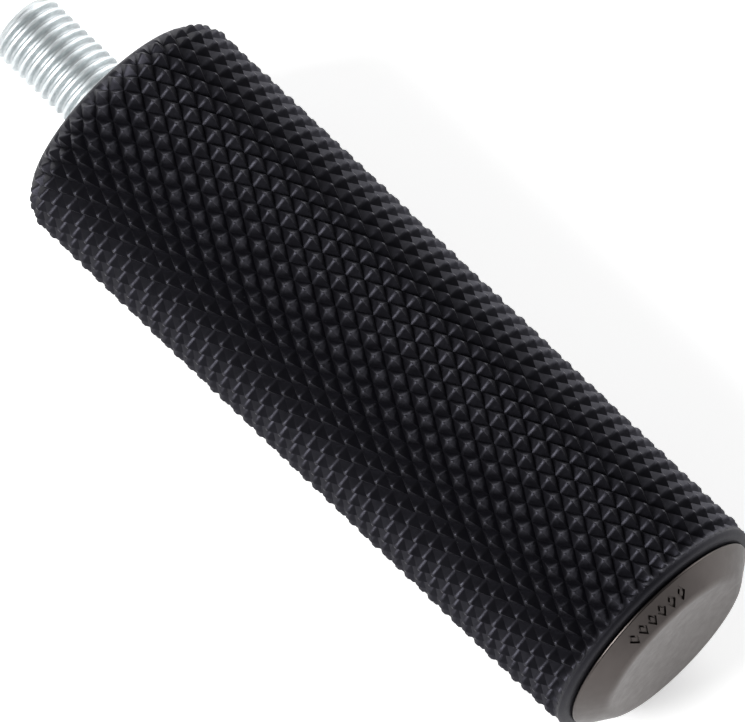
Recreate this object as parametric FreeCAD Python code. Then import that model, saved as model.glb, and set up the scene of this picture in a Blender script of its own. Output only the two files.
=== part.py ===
"""Rigid foot peg: a threaded stud, a ribbed core, a rubber sleeve and a turned end cap.

Units are millimetres. The peg's axis is X and points towards the end cap. The origin is on that axis,
in the outer face of the shoulder washer, where the peg bears on its lever. +Z is up.
Outlines are (x, radius) points in the XZ half plane, turned about the X axis.
"""
import FreeCAD, Part
import math
import os

ORIGIN = FreeCAD.Vector(0, 0, 0)
AXIS = FreeCAD.Vector(1, 0, 0)
SIDEWAYS = FreeCAD.Vector(0, 1, 0)

# Stud: 5/16-24 UNF, with half an inch showing.
INCH = 25.4
STUD_RADIUS = 5 / 16 * INCH / 2
STUD_EXPOSED = INCH / 2
STUD_CHAMFER = 0.9
STUD_RELIEF_RADIUS = 3.3
STUD_BURIED = 16.0

# Sleeve: moulded rubber. Its radius is to the points of the diamond pattern.
SLEEVE_RADIUS = 13.35
SLEEVE_LENGTH = 78.2
SLEEVE_WALL = 4.7
SHOULDER_FILLET = 3.6
LIP_LENGTH = 0.9
LIP_DROP = 1.1
FACE_RECESS = 0.2

# End cap.
CAP_RADIUS = 12.0
CAP_FACE_RADIUS = 9.25
CAP_RISE = 2.33
CAP_GAP = 0.04
CAP_RIM = 0.26
CAP_RIM_FILLET = 0.13
CAP_FACE_FILLET = 1.5
CAP_DISH = 0.35
CAP_BOSS_RADIUS = 5.0
CAP_BOSS_LENGTH = 11.5

# A plain row of diamond outlines cut in the cap's bevel.
MARK_COUNT = 6
MARK_TURN_DEG = 8.6
MARK_SPREAD_DEG = 36.0
MARK_LENGTH = 1.9
MARK_WIDTH = 1.1
MARK_LINE = 0.26
MARK_DEPTH = 0.2

# Gaps between pieces that fit together, on the radius.
FIT_GAP = 0.1
THREAD_GAP = 0.03

# How far a solid used for cutting or joining runs past the face that it meets.
OVERLAP = 1.0

# Washer, seal and core.
WASHER_THICKNESS = 1.8
WASHER_RADIUS = 9.0
SEAL_SEAT_DEPTH = 0.4
SEAL_INSET = 0.3
SEAL_WIDTH = 2.7
CORE_SETBACK = 0.5
RIB_COUNT = 4
RIB_WIDTH = 2.4
RIB_HEIGHT = 1.2
RIB_START = 14.0
TAP_DEPTH = 18.0
ACCESS_RADIUS = 3.45
WEB_THICKNESS = 8.0

# Pins.
LOCK_PIN_RADIUS = 1.0
LOCK_PIN_BORE = 0.45
LOCK_PIN_X = 10.0
LOCK_PIN_INSET = 0.4
DOWEL_RADIUS = 1.0
DOWEL_IN_CORE = 4.0
DOWEL_IN_CAP = 1.0
DOWEL_OFFSET = 6.75
DOWEL_CHAMFER = 0.2

# Cap screw: number 6-32 socket head, and its split lock washer.
SCREW_RADIUS = 1.75
SCREW_LENGTH = 15.8
SCREW_HEAD_RADIUS = 2.85
SCREW_HEAD_HEIGHT = 3.5
HEX_ACROSS_FLATS = 2.78
HEX_DEPTH = 1.8
BOSS_END_GAP = 0.3
TAPPED_EXTRA = 1.3
LOCK_WASHER_THICKNESS = 0.8
LOCK_WASHER_SPLIT = 0.6

# Places that follow from the sizes above.
SLEEVE_START = FACE_RECESS
SLEEVE_END = SLEEVE_START + SLEEVE_LENGTH
SLEEVE_BORE = SLEEVE_RADIUS - SLEEVE_WALL
CORE_RADIUS = SLEEVE_BORE - FIT_GAP
CORE_END = SLEEVE_END - CORE_SETBACK
CAP_BACK = SLEEVE_END + CAP_GAP
CAP_TOP = SLEEVE_END + CAP_RISE
BEVEL_START = CAP_BACK + CAP_RIM
SEAL_START = SLEEVE_END - SEAL_SEAT_DEPTH
SEAL_RADIUS = CAP_RADIUS - SEAL_INSET
BOSS_START = CORE_END - CAP_BOSS_LENGTH
BOSS_BORE_START = BOSS_START - BOSS_END_GAP
WEB_START = BOSS_BORE_START - WEB_THICKNESS
SCREW_SEAT = WEB_START - LOCK_WASHER_THICKNESS
SCREW_TIP = SCREW_SEAT + SCREW_LENGTH


def point(spot):
    """Vector for an (x, radius) spot in the XZ half plane."""
    return FreeCAD.Vector(spot[0], 0, spot[1])


def path(*spots):
    """Straight edges through a run of (x, radius) spots."""
    return [Part.makeLine(point(start), point(end)) for start, end in zip(spots, spots[1:])]


def arc(start, middle, end):
    """Arc edge through three (x, radius) spots, as a list to join with paths."""
    return [Part.Arc(point(start), point(middle), point(end)).toShape()]


def turned(edges):
    """Solid made by turning a closed outline about the X axis."""
    return Part.Face(Part.Wire(edges)).revolve(ORIGIN, AXIS, 360)


def rod(radius, start, end, offset=0):
    """Cylinder along X from start to end, its own axis offset upwards."""
    return Part.makeCylinder(radius, end - start, FreeCAD.Vector(start, 0, offset), AXIS)


def circle_edges(solid, radius, x=None):
    """Full circles of one radius, at one place along the axis if x is given."""
    return [
        edge
        for edge in solid.Edges
        if not edge.Degenerated
        and edge.Curve.TypeId == "Part::GeomCircle"
        and abs(edge.Curve.Radius - radius) < FIT_GAP / 2
        and (x is None or abs(edge.Curve.Center.x - x) < FIT_GAP / 2)
    ]


def rib_bars(width, height, start):
    """Long bars spaced evenly round the core, running out past its cap end."""
    foot = CORE_RADIUS - OVERLAP
    length = SLEEVE_END - start
    bars = []
    for index in range(RIB_COUNT):
        bar = Part.makeBox(length, width, height + OVERLAP, FreeCAD.Vector(start, -width / 2, foot))
        bar.rotate(ORIGIN, AXIS, (index + 0.5) * 360 / RIB_COUNT)
        bars.append(bar)
    return bars


def lock_pin_hole():
    """Cross hole through the core and the stud."""
    reach = CORE_RADIUS + OVERLAP
    start = FreeCAD.Vector(LOCK_PIN_X, -reach, 0)
    return Part.makeCylinder(LOCK_PIN_RADIUS + THREAD_GAP, 2 * reach, start, SIDEWAYS)


def mounting_stud():
    """Double-ended stud: a relief groove parts the exposed thread from the buried one."""
    tip = -STUD_EXPOSED
    end_radius = STUD_RADIUS - STUD_CHAMFER
    profile = path(
        (tip, 0),
        (tip, end_radius),
        (tip + STUD_CHAMFER, STUD_RADIUS),
        (0, STUD_RADIUS),
        (0, STUD_RELIEF_RADIUS),
        (WASHER_THICKNESS, STUD_RELIEF_RADIUS),
        (WASHER_THICKNESS, STUD_RADIUS),
        (STUD_BURIED - STUD_CHAMFER, STUD_RADIUS),
        (STUD_BURIED, end_radius),
        (STUD_BURIED, 0),
        (tip, 0),
    )
    return turned(profile).cut(lock_pin_hole())


def stud_lock_pin():
    """Rolled spring pin with its slot along one side."""
    half = CORE_RADIUS - LOCK_PIN_INSET
    start = FreeCAD.Vector(LOCK_PIN_X, -half, 0)
    pin = Part.makeCylinder(LOCK_PIN_RADIUS, 2 * half, start, SIDEWAYS)
    bore = Part.makeCylinder(LOCK_PIN_BORE, 2 * half, start, SIDEWAYS)
    slot_corner = start - FreeCAD.Vector(0, 0, LOCK_PIN_BORE / 2)
    slot = Part.makeBox(2 * LOCK_PIN_RADIUS, 2 * half, LOCK_PIN_BORE, slot_corner)
    return pin.cut(bore).cut(slot)


def shoulder_washer():
    """Washer that bears on the lever and backs the rubber, with its outer rim chamfered."""
    washer = rod(WASHER_RADIUS, 0, WASHER_THICKNESS)
    washer = washer.cut(rod(STUD_RADIUS + FIT_GAP, 0, WASHER_THICKNESS))
    return washer.makeChamfer(FACE_RECESS, circle_edges(washer, WASHER_RADIUS, 0))


def core_barrel():
    """Ribbed rod: tapped for the stud, with an access bore for the screw and a bore for the cap's boss."""
    core = rod(CORE_RADIUS, WASHER_THICKNESS, CORE_END)
    for bar in rib_bars(RIB_WIDTH, RIB_HEIGHT, RIB_START):
        core = core.fuse(bar)
    beyond = SLEEVE_END + OVERLAP
    holes = [
        rod(STUD_RADIUS + THREAD_GAP, WASHER_THICKNESS, TAP_DEPTH),
        rod(ACCESS_RADIUS, TAP_DEPTH, WEB_START),
        rod(SCREW_RADIUS + FIT_GAP, WEB_START, BOSS_BORE_START),
        rod(CAP_BOSS_RADIUS + THREAD_GAP, BOSS_BORE_START, CORE_END),
        rod(DOWEL_RADIUS + THREAD_GAP, CORE_END - DOWEL_IN_CORE, CORE_END, DOWEL_OFFSET),
        rod(SLEEVE_RADIUS, CORE_END, beyond),
        lock_pin_hole(),
    ]
    for hole in holes:
        core = core.cut(hole)
    return core.removeSplitter()


def grip_sleeve():
    """Rubber sleeve: rounded shoulder at the lever end, smooth rounded lip and a seal seat at the cap end."""
    face_radius = SLEEVE_RADIUS - SHOULDER_FILLET
    shoulder_mid = SHOULDER_FILLET * (1 - math.sqrt(0.5))
    lip_start = SLEEVE_END - LIP_LENGTH
    lip_mid = (SLEEVE_END - LIP_LENGTH / 3, SLEEVE_RADIUS - LIP_DROP / 3)
    recess_radius = WASHER_RADIUS + FIT_GAP
    edges = arc(
        (SLEEVE_START, face_radius),
        (SLEEVE_START + shoulder_mid, SLEEVE_RADIUS - shoulder_mid),
        (SLEEVE_START + SHOULDER_FILLET, SLEEVE_RADIUS),
    )
    edges += path((SLEEVE_START + SHOULDER_FILLET, SLEEVE_RADIUS), (lip_start, SLEEVE_RADIUS))
    edges += arc((lip_start, SLEEVE_RADIUS), lip_mid, (SLEEVE_END, SLEEVE_RADIUS - LIP_DROP))
    edges += path(
        (SLEEVE_END, SLEEVE_RADIUS - LIP_DROP),
        (SLEEVE_END, SEAL_RADIUS + FIT_GAP),
        (SEAL_START, SEAL_RADIUS + FIT_GAP),
        (SEAL_START, SLEEVE_BORE),
        (WASHER_THICKNESS, SLEEVE_BORE),
        (WASHER_THICKNESS, recess_radius),
        (SLEEVE_START, recess_radius),
        (SLEEVE_START, face_radius),
    )
    sleeve = turned(edges)
    for groove in rib_bars(RIB_WIDTH + 2 * FIT_GAP, RIB_HEIGHT + FIT_GAP, RIB_START - FIT_GAP):
        sleeve = sleeve.cut(groove)
    return sleeve


def cap_seal_ring():
    """Flat ring in the sleeve's seat, under the cap's rim."""
    ring = rod(SEAL_RADIUS, SEAL_START, CAP_BACK)
    return ring.cut(rod(SEAL_RADIUS - SEAL_WIDTH, SEAL_START, CAP_BACK))


def diamond_prism(length, width):
    """Prism on a diamond centred on the origin, reaching as far below the XY plane as above it."""
    corners = [(-length / 2, 0), (0, -width / 2), (length / 2, 0), (0, width / 2), (-length / 2, 0)]
    outline = Part.makePolygon([FreeCAD.Vector(x, y, -MARK_DEPTH) for x, y in corners])
    return Part.Face(outline).extrude(FreeCAD.Vector(0, 0, 2 * MARK_DEPTH))


def bevel_marks():
    """Diamond outlines to cut from the bevel, their long diagonals up the slope, in an even row."""
    slope_deg = math.degrees(math.atan2(CAP_RADIUS - CAP_FACE_RADIUS, CAP_TOP - BEVEL_START))
    middle = point(((BEVEL_START + CAP_TOP) / 2, (CAP_RADIUS + CAP_FACE_RADIUS) / 2))
    on_bevel = FreeCAD.Placement(middle, FreeCAD.Rotation(SIDEWAYS, slope_deg))
    half_across = MARK_LENGTH * MARK_WIDTH / math.hypot(MARK_LENGTH, MARK_WIDTH) / 2
    inside = 1 - MARK_LINE / half_across
    marks = []
    for index in range(MARK_COUNT):
        turn_deg = MARK_TURN_DEG + (index / (MARK_COUNT - 1) - 0.5) * MARK_SPREAD_DEG
        round_axis = FreeCAD.Placement(ORIGIN, FreeCAD.Rotation(AXIS, turn_deg))
        mark = diamond_prism(MARK_LENGTH, MARK_WIDTH)
        mark = mark.cut(diamond_prism(MARK_LENGTH * inside, MARK_WIDTH * inside))
        mark.Placement = round_axis.multiply(on_bevel)
        marks.append(mark)
    return marks


def end_cap():
    """Turned cap: thin rim, bevel, shallow dish, and a tapped boss that fits the core."""
    spigot_radius = CORE_RADIUS - FIT_GAP
    edges = path(
        (CAP_TOP - CAP_DISH, 0),
        (BOSS_START, 0),
        (BOSS_START, CAP_BOSS_RADIUS),
        (CORE_END, CAP_BOSS_RADIUS),
        (CORE_END, spigot_radius),
        (CAP_BACK, spigot_radius),
        (CAP_BACK, CAP_RADIUS),
        (BEVEL_START, CAP_RADIUS),
        (CAP_TOP, CAP_FACE_RADIUS),
    )
    # Halfway out, a shallow arc is three quarters of its depth down.
    dish_mid = (CAP_TOP - 0.75 * CAP_DISH, CAP_FACE_RADIUS / 2)
    edges += arc((CAP_TOP, CAP_FACE_RADIUS), dish_mid, (CAP_TOP - CAP_DISH, 0))
    cap = turned(edges)
    cap = cap.makeFillet(CAP_FACE_FILLET, circle_edges(cap, CAP_FACE_RADIUS, CAP_TOP))
    cap = cap.makeFillet(CAP_RIM_FILLET, circle_edges(cap, CAP_RADIUS))
    cap = cap.cut(rod(SCREW_RADIUS + THREAD_GAP, BOSS_START, SCREW_TIP + TAPPED_EXTRA))
    cap = cap.cut(rod(DOWEL_RADIUS + THREAD_GAP, CORE_END, CORE_END + DOWEL_IN_CAP + FIT_GAP, DOWEL_OFFSET))
    for mark in bevel_marks():
        cap = cap.cut(mark)
    return cap


def cap_screw():
    """Socket head screw, its head towards the stud."""
    head_start = SCREW_SEAT - SCREW_HEAD_HEIGHT
    screw = rod(SCREW_HEAD_RADIUS, head_start, SCREW_SEAT).fuse(rod(SCREW_RADIUS, SCREW_SEAT, SCREW_TIP))
    corner_radius = HEX_ACROSS_FLATS / math.sqrt(3)
    corners = [
        FreeCAD.Vector(head_start, corner_radius * math.cos(turn), corner_radius * math.sin(turn))
        for turn in (math.radians(60 * index) for index in range(7))
    ]
    socket = Part.Face(Part.makePolygon(corners)).extrude(AXIS * HEX_DEPTH)
    return screw.cut(socket)


def cap_lock_washer():
    """Split lock washer under the screw's head."""
    washer = rod(SCREW_HEAD_RADIUS, SCREW_SEAT, WEB_START)
    washer = washer.cut(rod(SCREW_RADIUS + FIT_GAP, SCREW_SEAT, WEB_START))
    split_corner = FreeCAD.Vector(SCREW_SEAT, -LOCK_WASHER_SPLIT / 2, 0)
    split_height = SCREW_HEAD_RADIUS + OVERLAP
    split = Part.makeBox(LOCK_WASHER_THICKNESS, LOCK_WASHER_SPLIT, split_height, split_corner)
    return washer.cut(split)


def cap_dowel():
    """Dowel that is mostly in the core and reaches into the back of the cap."""
    pin = rod(DOWEL_RADIUS, CORE_END - DOWEL_IN_CORE, CORE_END + DOWEL_IN_CAP, DOWEL_OFFSET)
    return pin.makeChamfer(DOWEL_CHAMFER, circle_edges(pin, DOWEL_RADIUS))


SUBPARTS = (
    mounting_stud,
    stud_lock_pin,
    shoulder_washer,
    core_barrel,
    grip_sleeve,
    cap_seal_ring,
    end_cap,
    cap_screw,
    cap_lock_washer,
    cap_dowel,
)

os.makedirs("parts", exist_ok=True)
for make in SUBPARTS:
    shape = make()
    shape.exportStep(f"parts/{make.__name__}.step")
    print(f"{make.__name__}: {shape.Volume:.1f} mm3, valid {shape.isValid()}, solids {len(shape.Solids)}")
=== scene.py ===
"""Looks for the foot peg: knurled rubber sleeve, rolled thread, satin cap, and a plain white studio.

Lengths are in metres in the CAD frame: the peg's axis is X and points towards the end cap.
"""
import math

import bpy
import numpy as np
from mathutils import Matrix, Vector


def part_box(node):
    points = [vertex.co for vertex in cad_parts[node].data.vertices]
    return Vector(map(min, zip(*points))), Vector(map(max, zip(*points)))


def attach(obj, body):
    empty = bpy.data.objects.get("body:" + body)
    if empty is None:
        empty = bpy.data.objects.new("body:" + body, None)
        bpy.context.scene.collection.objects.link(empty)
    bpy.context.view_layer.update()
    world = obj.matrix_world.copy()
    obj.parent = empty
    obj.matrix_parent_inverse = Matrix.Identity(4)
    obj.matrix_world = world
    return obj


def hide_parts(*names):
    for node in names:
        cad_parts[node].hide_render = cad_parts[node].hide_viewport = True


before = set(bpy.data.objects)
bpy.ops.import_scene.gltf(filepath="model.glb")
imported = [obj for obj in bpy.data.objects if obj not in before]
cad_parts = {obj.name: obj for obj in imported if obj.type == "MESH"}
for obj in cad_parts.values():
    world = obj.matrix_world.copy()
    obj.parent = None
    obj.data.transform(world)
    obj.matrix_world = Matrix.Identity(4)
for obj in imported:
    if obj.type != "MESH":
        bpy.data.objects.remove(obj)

MM = 0.001
TAU = 2 * math.pi
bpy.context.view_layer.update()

# Camera: the photograph's viewing angle, from far off with a long lens.
CAMERA_AZIMUTH_DEG = 45.73
CAMERA_ELEVATION_DEG = 68.81
CAMERA_DISTANCE = 1.9
CAMERA_LENS_MM = 922.0
CAMERA_AIM_SHIFT = Vector((-1.2, -0.18, 0.27)) * MM
CAMERA_CLIP_FACTOR = 10

# Studio: a dim plain surround, a key softbox in front and two broad boxes low on the stud's and far sides.
FLOOR_HALF = 4.0
FLOOR_GLOW = 0.5
PAPER_DARK = 0.93
PAPER_LIGHT = 0.95
PAPER_PATCH = 40 * MM
WORLD_LIGHT = 0.1
SOFTBOX_DISTANCE = 0.9
SOFTBOXES = (
    # name, azimuth, elevation, width, height, watts
    ("key", -20, 38, 0.4, 0.42, 9.0),
    ("stud_side", -130, 14, 1.0, 0.5, 4.2),
    ("far_side", -170, 24, 1.4, 0.7, 7.6),
)

# Raised diamonds. The turn is in diamonds, the tip's half width and the steps are shares of half a period,
# and the lowest diamond is a share of the full height.
KNURLS_ROUND = 39
KNURL_TURN = 0.01
KNURL_PERIOD = 3.3 * MM
KNURL_FIRST = 1.92 * MM
KNURL_DEPTH = 0.95 * MM
KNURL_TIP = 0.14
KNURL_STEPS = (0.0, KNURL_TIP, 0.5, 1 - KNURL_TIP)
KNURL_LOWEST = 0.9
KNURL_SEED = 7
GROOVE_TOLERANCE = 1e-6

# Smooth bands at the sleeve's ends, and how far the diamonds take to rise from them.
RIM_BAND = 1.6 * MM
RIM_FADE = 1.65 * MM
RIM_RINGS = 16
LIP_BAND = 1.2 * MM
LIP_FADE = 0.8 * MM
LIP_RINGS = 12
SMOOTH_SINK = 0.25 * MM

# The sleeve's section. Its sizes repeat the CAD's, and the steps are the points on each curve.
SHOULDER_FILLET = 3.6 * MM
SHOULDER_STEPS = 40
LIP_LENGTH = 0.9 * MM
LIP_DROP = 1.1 * MM
LIP_STEPS = 24
SLEEVE_WALL = 4.7 * MM
SEAT_GAP = 0.1 * MM

# Stud: 5/16-24 UNF rolled thread. The flat crest ends and the flat root starts at a share of half a pitch
# from the crest's middle. The rings on the end faces lie at shares of the faces' radius.
THREAD_PITCH = 25.4 / 24 * MM
THREAD_DEPTH = 0.45 * THREAD_PITCH
THREAD_CREST = 0.24
THREAD_ROOT = 0.84
THREAD_COLUMNS = 144
THREAD_ROWS_PER_PITCH = 20
STUD_CHAMFER = 0.9 * MM
STUD_RELIEF_RADIUS = 3.3 * MM
STUD_END_RINGS = (0.02, 0.5, 0.9, 0.985)

# Colours, in linear RGB. The dust is a grey, and a tint multiplies a grey.
RUBBER_DARK = (0.0013, 0.0012, 0.0016, 1.0)
RUBBER_LIGHT = (0.0024, 0.0023, 0.0030, 1.0)
RUBBER_WORN = (0.010, 0.0096, 0.0115, 1.0)
RUBBER_SHEEN = (0.82, 0.81, 1.0, 1.0)
RUBBER_DUST = 0.12
ZINC_DARK = (0.57, 0.61, 0.625, 1.0)
ZINC_LIGHT = (0.72, 0.76, 0.77, 1.0)
# Painted shade for the thread's roots and the tip's chamfer.
ZINC_PAINTED_SHADE = (0.13, 0.14, 0.15, 1.0)
SEAL_DARK = 0.004
SEAL_LIGHT = 0.008
PLAIN = (1.0, 1.0, 1.0)
SATIN_METALS = {
    # name: darkest grey, lightest grey, roughness, tint
    "titanium_satin": (0.073, 0.086, 0.4, (1.14, 1.0, 0.95)),
    "washer_zinc": (0.5, 0.62, 0.3, (0.98, 1.0, 1.02)),
    "oiled_steel": (0.3, 0.42, 0.35, PLAIN),
    "machined_aluminium": (0.68, 0.8, 0.33, PLAIN),
}

# Roughness: lowest and highest, then that of the rubber's smooth bands and how far a satin metal's varies.
RUBBER_ROUGHNESS = (0.41, 0.51)
ZINC_ROUGHNESS = (0.44, 0.56)
SEAL_ROUGHNESS = (0.7, 0.85)
SMOOTH_ROUGHNESS = 0.6
METAL_ROUGHNESS_SPREAD = 0.04

# The values that most of a noise texture lies between, and the Mix node's sockets that carry colours.
NOISE_RANGE = (0.3, 0.7)
MIX_SHARE, MIX_FIRST, MIX_SECOND, MIX_COLOUR = 0, 6, 7, 2


# ---------------------------------------------------------------- meshes


def mesh_piece(name, points, faces, material, body="root"):
    """A smooth-shaded mesh object that rides on a CAD body."""
    mesh = bpy.data.meshes.new(name)
    mesh.from_pydata(points.tolist(), [], faces)
    mesh.materials.append(material)
    mesh.polygons.foreach_set("use_smooth", [True] * len(mesh.polygons))
    mesh.update()
    piece = bpy.data.objects.new(name, mesh)
    bpy.context.scene.collection.objects.link(piece)
    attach(piece, body)
    return piece


def ring_points(x, radius, turn):
    """Points at each x, radius and turn about the X axis, as an (n, 3) array."""
    x, radius, turn = np.broadcast_arrays(x, radius, turn)
    flat = (x, radius * np.sin(turn), radius * np.cos(turn))
    return np.stack([part.ravel() for part in flat], axis=1)


def ring_quads(rows, columns, closed=False):
    """Quads between neighbouring rings of points. A closed stack joins its last ring to its first."""
    here = np.arange(rows if closed else rows - 1)[:, None] * columns
    there = (here + columns) % (rows * columns)
    column = np.arange(columns)[None, :]
    beside = (column + 1) % columns
    corners = (here + column, here + beside, there + beside, there + column)
    return np.stack([corner.ravel() for corner in corners], axis=1)


def stacked_rings(before, middle, after, turn):
    """Points of plain rings, then of a grid given as its x and radius, then of more plain rings."""
    rings = [ring_points(x, radius, turn) for x, radius in before]
    rings.append(ring_points(*middle, turn[None, :]))
    rings += [ring_points(x, radius, turn) for x, radius in after]
    return np.concatenate(rings)


def add_values(mesh, name, values):
    """Stores one number per vertex, for a material to read."""
    mesh.attributes.new(name, "FLOAT", "POINT").data.foreach_set("value", values.astype(np.float32))


# ---------------------------------------------------------------- knurled sleeve


class Outline:
    """The sleeve's outer outline through the diamonds' points, read by the distance along it."""

    def __init__(self, low, high, radius):
        shoulder = np.linspace(0, math.pi / 2, SHOULDER_STEPS)
        lip = np.linspace(0, math.pi / 2, LIP_STEPS)
        face_radius = radius - SHOULDER_FILLET
        self.x = np.concatenate([
            low + SHOULDER_FILLET * (1 - np.cos(shoulder)),
            high - LIP_LENGTH + LIP_LENGTH * np.sin(lip),
        ])
        self.radius = np.concatenate([
            face_radius + SHOULDER_FILLET * np.sin(shoulder),
            radius - LIP_DROP * (1 - np.cos(lip)),
        ])
        steps = np.hypot(np.diff(self.x), np.diff(self.radius))
        self.along = np.concatenate([[0], np.cumsum(steps)])
        self.length = self.along[-1]
        slope_x, slope_radius = np.gradient(self.x, self.along), np.gradient(self.radius, self.along)
        steepness = np.hypot(slope_x, slope_radius)
        self.normal_x, self.normal_radius = -slope_radius / steepness, slope_x / steepness

    def read(self, values, place):
        """One of the outline's measures at a distance along it."""
        return np.interp(place, self.along, values)

    def sunk(self, place, sink):
        """The x and radius at a distance along the outline, sunk below it along its normal."""
        x = self.read(self.x, place) - sink * self.read(self.normal_x, place)
        radius = self.read(self.radius, place) - sink * self.read(self.normal_radius, place)
        return x, radius

    def smooth_rings(self, places):
        """Plain rings a little below the diamonds' points, as (x, radius) pairs."""
        return list(zip(*self.sunk(places, SMOOTH_SINK)))


def knurl_height(turns, rows):
    """Height, 0 in the grooves and about 1 on the points, at a place in diamonds round and periods along.

    The points are blunt, and each diamond's own height is a little uneven, as moulded rubber is.
    """
    one_way, other_way = np.round(turns + rows), np.round(turns - rows)
    first = 1 - 2 * np.abs(turns + rows - one_way)
    second = 1 - 2 * np.abs(turns - rows - other_way)
    blunt = np.minimum(np.minimum(first, second) / (1 - KNURL_TIP), 1)
    across = (one_way + other_way).astype(int) % (2 * KNURLS_ROUND)
    along = (one_way - other_way).astype(int)
    along -= along.min()
    rng = np.random.default_rng(KNURL_SEED)
    uneven = rng.uniform(KNURL_LOWEST, 1.0, (2 * KNURLS_ROUND, along.max() + 1))
    return blunt * uneven[across, along]


def knurl_places(count):
    """Places along count half periods, with extra lines close to each point and groove."""
    steps = [(half + step) / 2 for half in range(count) for step in KNURL_STEPS]
    return np.array(steps + [count / 2])


def knurl_rows(length):
    """The pattern's rows between the smooth bands, in periods, and the half period that they start at."""
    half_period = KNURL_PERIOD / 2
    first = round((RIM_BAND - KNURL_FIRST) / half_period)
    last = round((length - LIP_BAND - KNURL_FIRST) / half_period)
    return first / 2 + knurl_places(last - first), first


def knurl_strength(place):
    """From 0 where the pattern meets the smooth bands to 1 where it has risen fully, one value per row."""
    risen = np.minimum((place - place[0]) / RIM_FADE, (place[-1] - place) / LIP_FADE)
    return np.clip(risen, 0, 1)[:, None]


def split_quad(quad, main):
    """Two triangles from a quad, cut along its main diagonal or the other one."""
    a, b, c, d = quad
    return [(a, b, c), (a, c, d)] if main else [(a, b, d), (b, c, d)]


def sleeve_faces(rows, columns, knurled, first_half):
    """Faces between the rings. Those in the knurled rows are cut in two along the bottoms of the grooves."""
    per_half = len(KNURL_STEPS)
    faces = []
    for index, quad in enumerate(ring_quads(rows, columns, closed=True).tolist()):
        row, column = divmod(index, columns)
        if row in knurled:
            half = first_half + (row - knurled.start) // per_half + column // per_half
            faces += split_quad(quad, main=half % 2 == 1)
        else:
            faces.append(quad)
    return faces


def crease_pattern(mesh, height, knurled, columns):
    """Marks as sharp the bottoms of the grooves and the ridges that run along the peg."""
    ends = np.zeros(2 * len(mesh.edges), np.int32)
    mesh.edges.foreach_get("vertices", ends)
    ends = ends.reshape(-1, 2)
    in_pattern = ((ends >= knurled.start * columns) & (ends < knurled.stop * columns)).all(axis=1)
    groove = np.isclose(height[ends], 0, atol=GROOVE_TOLERANCE).all(axis=1)
    column = ends % columns
    ridge = (column[:, 0] == column[:, 1]) & (column[:, 0] % len(KNURL_STEPS) == 0)
    sharp = in_pattern & (groove | ridge)
    mesh.attributes.new("sharp_edge", "BOOLEAN", "EDGE").data.foreach_set("value", sharp)


def knurled_sleeve(material):
    """The rubber sleeve: a closed stack of rings from the bore, over the outside and back to the bore."""
    low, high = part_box("grip_sleeve")
    bore = high.z - SLEEVE_WALL
    outline = Outline(low.x, high.x, high.z)
    rows, first_half = knurl_rows(outline.length)
    place = KNURL_FIRST + rows * KNURL_PERIOD
    turns = knurl_places(2 * KNURLS_ROUND)[:-1]
    angle = (turns + KNURL_TURN) * TAU / KNURLS_ROUND
    height = knurl_height(turns[None, :], rows[:, None])
    strength = knurl_strength(place)
    sink = SMOOTH_SINK + (KNURL_DEPTH * (1 - height) - SMOOTH_SINK) * strength

    washer_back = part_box("shoulder_washer")[1]
    washer_radius = washer_back.z + SEAT_GAP
    before = [(washer_back.x, bore), (washer_back.x, washer_radius), (low.x, washer_radius)]
    before += outline.smooth_rings(np.linspace(0, place[0], RIM_RINGS))
    seal_start, seal_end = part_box("cap_seal_ring")
    seat_radius = seal_end.z + SEAT_GAP
    after = outline.smooth_rings(np.linspace(place[-1], outline.length, LIP_RINGS))
    after += [(high.x, seat_radius), (seal_start.x, seat_radius), (seal_start.x, bore)]
    points = stacked_rings(before, outline.sunk(place[:, None], sink), after, angle)

    columns = len(turns)
    knurled = range(len(before), len(before) + len(rows) - 1)
    faces = sleeve_faces(len(points) // columns, columns, knurled, first_half)
    piece = mesh_piece("knurled_sleeve", points, faces, material)
    pattern = slice(knurled.start * columns, knurled.start * columns + height.size)
    tip, smooth = np.zeros(len(points)), np.ones(len(points))
    tip[pattern] = height.ravel()
    smooth[pattern] = np.repeat(1 - strength.ravel(), columns)
    add_values(piece.data, "tip", tip)
    add_values(piece.data, "smooth", smooth)
    crease_pattern(piece.data, tip, knurled, columns)
    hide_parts("grip_sleeve")


# ---------------------------------------------------------------- threaded stud


def thread_sink(phase):
    """Depth below the crest, from 0 to 1, over one pitch: a flat crest and root, and an eased flank."""
    distance = np.abs(phase - np.round(phase)) * 2
    flank = np.clip((distance - THREAD_CREST) / (THREAD_ROOT - THREAD_CREST), 0, 1)
    return flank * flank * (3 - 2 * flank)


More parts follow.
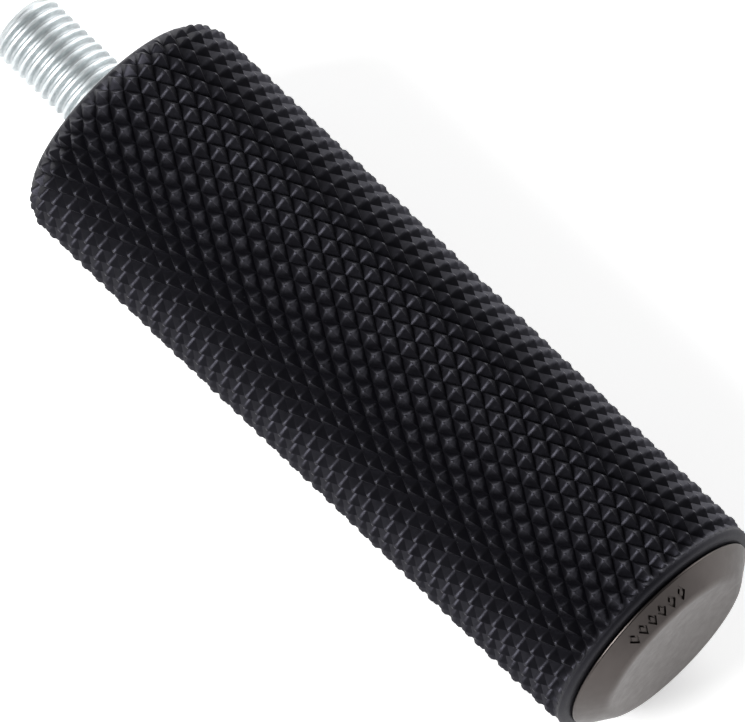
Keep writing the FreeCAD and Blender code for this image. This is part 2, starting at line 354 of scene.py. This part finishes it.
def threaded_stud(material):
    """The stud: a threaded end outside the washer, the relief groove inside it and a plain buried end."""
    low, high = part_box("mounting_stud")
    radius = high.z
    end_radius = radius - STUD_CHAMFER
    washer_low, washer_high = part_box("shoulder_washer")
    step = THREAD_PITCH / THREAD_ROWS_PER_PITCH
    x = np.linspace(low.x, washer_low.x, round((washer_low.x - low.x) / step) + 1)
    turn = np.arange(THREAD_COLUMNS) * TAU / THREAD_COLUMNS
    sink = thread_sink(x[:, None] / THREAD_PITCH - turn[None, :] / TAU)
    chamfer = (end_radius + (x - low.x))[:, None]
    thread_radius = np.minimum(radius - THREAD_DEPTH * sink, chamfer)
    before = [(low.x, end_radius * share) for share in STUD_END_RINGS]
    after = [
        (washer_low.x, STUD_RELIEF_RADIUS),
        (washer_high.x, STUD_RELIEF_RADIUS),
        (washer_high.x, radius),
        (high.x - STUD_CHAMFER, radius),
        (high.x, end_radius),
        (high.x, end_radius * STUD_END_RINGS[0]),
    ]
    points = stacked_rings(before, (x[:, None], thread_radius), after, turn)

    rows = len(points) // THREAD_COLUMNS
    faces = ring_quads(rows, THREAD_COLUMNS).tolist()
    faces.append(list(range(THREAD_COLUMNS - 1, -1, -1)))
    faces.append(list(range((rows - 1) * THREAD_COLUMNS, rows * THREAD_COLUMNS)))
    piece = mesh_piece("threaded_stud", points, faces, material)
    # Painted shade: darker in the thread's roots and over the whole chamfer at the tip, for the material to
    # read.
    painted_shade = np.zeros((rows, THREAD_COLUMNS))
    painted_shade[len(before):len(before) + len(x)] = np.where(chamfer < radius, 1.0, sink ** 2)
    add_values(piece.data, "painted_shade", painted_shade.ravel())
    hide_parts("mounting_stud")


# ---------------------------------------------------------------- materials


class Look:
    """A new material with one Principled BSDF, and short calls for the nodes that drive it."""

    def __init__(self, name, **constants):
        self.material = bpy.data.materials.new(name)
        self.material.use_nodes = True
        self.tree = self.material.node_tree
        self.surface = self.tree.nodes["Principled BSDF"]
        self.put(self.surface, constants)
        self.place = self.node("TexCoord").outputs["Object"]

    def put(self, node, inputs):
        """Sets or links inputs by name, with _ for a space."""
        for name, value in inputs.items():
            socket = node.inputs[name.replace("_", " ")]
            if isinstance(value, bpy.types.NodeSocket):
                self.tree.links.new(value, socket)
            else:
                socket.default_value = value

    def node(self, kind, settings=(), **inputs):
        """Adds a shader node, with its own settings as (name, value) pairs and its inputs by name."""
        made = self.tree.nodes.new("ShaderNode" + kind)
        for name, value in settings:
            setattr(made, name, value)
        self.put(made, inputs)
        return made

    def stretched(self, x, y, z):
        """The object's coordinates scaled by a factor along each axis."""
        return self.node("Mapping", Vector=self.place, Scale=(x, y, z)).outputs["Vector"]

    def noise(self, size, detail=3.0, roughness=0.55, place=None):
        """Noise from 0 to 1 whose blobs are about size across."""
        inputs = {"Vector": place or self.place, "Scale": 1 / size, "Detail": detail, "Roughness": roughness}
        return self.node("TexNoise", **inputs).outputs["Fac"]

    def remap(self, value, low, high, to_low=0.0, to_high=1.0):
        """A value moved from one range to another and kept inside it."""
        made = self.node("MapRange", From_Min=low, From_Max=high, To_Min=to_low, To_Max=to_high)
        self.tree.links.new(value, made.inputs["Value"])
        return made.outputs["Result"]

    def uneven(self, size, low, high, detail=3.0):
        """A value that wanders between two others, in blobs about size across."""
        return self.remap(self.noise(size, detail), *NOISE_RANGE, low, high)

    def mix(self, share, first, second):
        """A colour between two, each a colour or a socket."""
        made = self.node("Mix", [("data_type", "RGBA")])
        for index, value in ((MIX_SHARE, share), (MIX_FIRST, first), (MIX_SECOND, second)):
            socket = made.inputs[index]
            if isinstance(value, bpy.types.NodeSocket):
                self.tree.links.new(value, socket)
            else:
                socket.default_value = value
        return made.outputs[MIX_COLOUR]

    def largest(self, first, *others):
        """The largest of several values."""
        for other in others:
            made = self.node("Math", [("operation", "MAXIMUM")])
            self.tree.links.new(first, made.inputs[0])
            self.tree.links.new(other, made.inputs[1])
            first = made.outputs["Value"]
        return first

    def bump(self, height, distance, strength=1.0, under=None):
        """A normal bumped by a height, on top of another normal if one is given."""
        inputs = {"Height": height, "Distance": distance, "Strength": strength}
        if under:
            inputs["Normal"] = under
        return self.node("Bump", **inputs).outputs["Normal"]


def grey(value, tint=PLAIN):
    """A near-grey colour: one value times a tint."""
    red, green, blue = tint
    return (value * red, value * green, value * blue, 1.0)


def grip_rubber():
    """Moulded rubber: a little lighter on the points, duller on the smooth bands, with specks of dust."""
    look = Look("grip_rubber_moulded", Specular_IOR_Level=0.4, Specular_Tint=RUBBER_SHEEN)
    shade = look.mix(look.noise(3 * MM), RUBBER_DARK, RUBBER_LIGHT)
    tip = look.node("Attribute", [("attribute_name", "tip")]).outputs["Fac"]
    worn = look.remap(tip, low=0.8, high=1.0, to_high=0.5)
    shade = look.mix(worn, shade, RUBBER_WORN)
    dust = look.remap(look.noise(0.5 * MM, detail=6.0), low=0.72, high=0.76, to_high=0.5)
    shade = look.mix(dust, shade, grey(RUBBER_DUST))
    moulded = look.uneven(0.8 * MM, *RUBBER_ROUGHNESS, detail=4.0)
    smooth = look.node("Attribute", [("attribute_name", "smooth")]).outputs["Fac"]
    rough = look.largest(moulded, look.remap(smooth, 0, 1, to_high=SMOOTH_ROUGHNESS))
    grain = look.bump(look.noise(0.12 * MM, detail=4.0), distance=0.02 * MM, strength=0.35)
    swell = look.bump(look.noise(1.6 * MM), distance=0.12 * MM, strength=0.4, under=grain)
    look.put(look.surface, {"Base_Color": shade, "Roughness": rough, "Normal": swell})
    return look.material


def zinc_plate():
    """Plated steel, streaked round the thread, with painted shade in its roots and on the tip's chamfer."""
    look = Look("zinc_plated_thread", Metallic=0.8)
    streaks = look.noise(0.5 * MM, detail=5.0, place=look.stretched(4.0, 0.6, 0.6))
    shade = look.mix(look.remap(streaks, low=0.35, high=0.65), ZINC_DARK, ZINC_LIGHT)
    # Painted shade in the thread's roots and on the tip's chamfer, mixed in up to a share of 0.3.
    painted_shade = look.node("Attribute", [("attribute_name", "painted_shade")]).outputs["Fac"]
    shade = look.mix(look.remap(painted_shade, 0, 1, to_high=0.3), shade, ZINC_PAINTED_SHADE)
    rough = look.uneven(0.3 * MM, *ZINC_ROUGHNESS, detail=4.0)
    ripple = look.bump(streaks, distance=0.03 * MM, strength=0.5)
    look.put(look.surface, {"Base_Color": shade, "Roughness": rough, "Normal": ripple})
    return look.material


def satin_metal(name):
    """Blasted or machined metal: a fine grain, with soft uneven patches."""
    dark, light, roughness, tint = SATIN_METALS[name]
    look = Look(name, Metallic=1.0)
    shade = look.mix(look.noise(4 * MM), grey(dark, tint), grey(light, tint))
    rough = look.uneven(1.2 * MM, roughness - METAL_ROUGHNESS_SPREAD, roughness + METAL_ROUGHNESS_SPREAD)
    blasted = look.bump(look.noise(0.06 * MM, detail=2.0), distance=0.006 * MM, strength=0.5)
    look.put(look.surface, {"Base_Color": shade, "Roughness": rough, "Normal": blasted})
    return look.material


def seal_rubber():
    """Matte black rubber."""
    look = Look("seal_rubber_matte", Specular_IOR_Level=0.3)
    shade = look.mix(look.noise(0.6 * MM), grey(SEAL_DARK), grey(SEAL_LIGHT))
    rough = look.uneven(0.3 * MM, *SEAL_ROUGHNESS)
    look.put(look.surface, {"Base_Color": shade, "Roughness": rough})
    return look.material


def paint_cad_nodes():
    """Gives each CAD node that stays on show its finished material."""
    metals = {name: satin_metal(name) for name in SATIN_METALS}
    steel = metals["oiled_steel"]
    finishes = {
        "end_cap": metals["titanium_satin"],
        "shoulder_washer": metals["washer_zinc"],
        "core_barrel": metals["machined_aluminium"],
        "cap_seal_ring": seal_rubber(),
        "stud_lock_pin": steel,
        "cap_screw": steel,
        "cap_lock_washer": steel,
        "cap_dowel": steel,
    }
    for name, material in finishes.items():
        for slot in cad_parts[name].material_slots:
            slot.material = material


# ---------------------------------------------------------------- studio


def direction(azimuth_deg, elevation_deg):
    """Unit vector from the object towards a place at this azimuth and elevation."""
    azimuth, elevation = math.radians(azimuth_deg), math.radians(elevation_deg)
    level = math.cos(elevation)
    return Vector((math.sin(azimuth) * level, -math.cos(azimuth) * level, math.sin(elevation)))


def facing(way):
    """Rotation that looks back along a direction."""
    return (-way).to_track_quat("-Z", "Y").to_euler()


def place_camera(centre):
    """The scene's camera, aimed a little off the sleeve's centre."""
    camera = bpy.data.objects.new("camera", bpy.data.cameras.new("camera"))
    bpy.context.scene.collection.objects.link(camera)
    way = direction(CAMERA_AZIMUTH_DEG, CAMERA_ELEVATION_DEG)
    camera.location = centre + CAMERA_AIM_SHIFT + way * CAMERA_DISTANCE
    camera.rotation_euler = facing(way)
    camera.data.lens = CAMERA_LENS_MM
    camera.data.clip_start = CAMERA_DISTANCE / CAMERA_CLIP_FACTOR
    camera.data.clip_end = CAMERA_DISTANCE * CAMERA_CLIP_FACTOR
    bpy.context.scene.camera = camera


def place_softboxes(centre):
    """Rectangular lamps at one distance from the sleeve's centre, each facing it."""
    for name, azimuth, elevation, width, height, watts in SOFTBOXES:
        data = bpy.data.lights.new(name, "AREA")
        data.shape = "RECTANGLE"
        data.size, data.size_y = width, height
        data.energy = watts
        box = bpy.data.objects.new(name, data)
        bpy.context.scene.collection.objects.link(box)
        way = direction(azimuth, elevation)
        box.location = centre + way * SOFTBOX_DISTANCE
        box.rotation_euler = facing(way)


def light_world():
    """A plain grey surround."""
    world = bpy.data.worlds.new("studio")
    bpy.context.scene.world = world
    world.use_nodes = True
    background = world.node_tree.nodes["Background"]
    background.inputs["Color"].default_value = grey(1.0)
    background.inputs["Strength"].default_value = WORLD_LIGHT


def lay_floor(height):
    """A white sheet under the peg, which glows for camera, glossy and transmission rays only."""
    corners = [(-1, -1), (1, -1), (1, 1), (-1, 1)]
    mesh = bpy.data.meshes.new("floor")
    mesh.from_pydata([(x * FLOOR_HALF, y * FLOOR_HALF, height) for x, y in corners], [], [(0, 1, 2, 3)])
    look = Look("floor_paper", Roughness=1.0, Specular_IOR_Level=0.0)
    paper = look.mix(look.noise(PAPER_PATCH), grey(PAPER_DARK), grey(PAPER_LIGHT))
    look.put(look.surface, {"Base_Color": paper})
    output = look.tree.nodes["Material Output"]
    rays = look.node("LightPath").outputs
    seen = look.largest(rays["Is Camera Ray"], rays["Is Glossy Ray"], rays["Is Transmission Ray"])
    glow = look.node("Emission", Color=grey(1.0), Strength=look.remap(seen, 0, 1, to_high=FLOOR_GLOW))
    both = look.node("AddShader")
    look.tree.links.new(look.surface.outputs[0], both.inputs[0])
    look.tree.links.new(glow.outputs[0], both.inputs[1])
    look.tree.links.new(both.outputs[0], output.inputs["Surface"])
    mesh.materials.append(look.material)
    floor = bpy.data.objects.new("floor", mesh)
    bpy.context.scene.collection.objects.link(floor)


sleeve_low, sleeve_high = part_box("grip_sleeve")
sleeve_centre = (sleeve_low + sleeve_high) / 2
place_camera(sleeve_centre)
place_softboxes(sleeve_centre)
light_world()
lay_floor(sleeve_low.z)
bpy.context.scene.view_settings.view_transform = "Standard"

knurled_sleeve(grip_rubber())
threaded_stud(zinc_plate())
paint_cad_nodes()
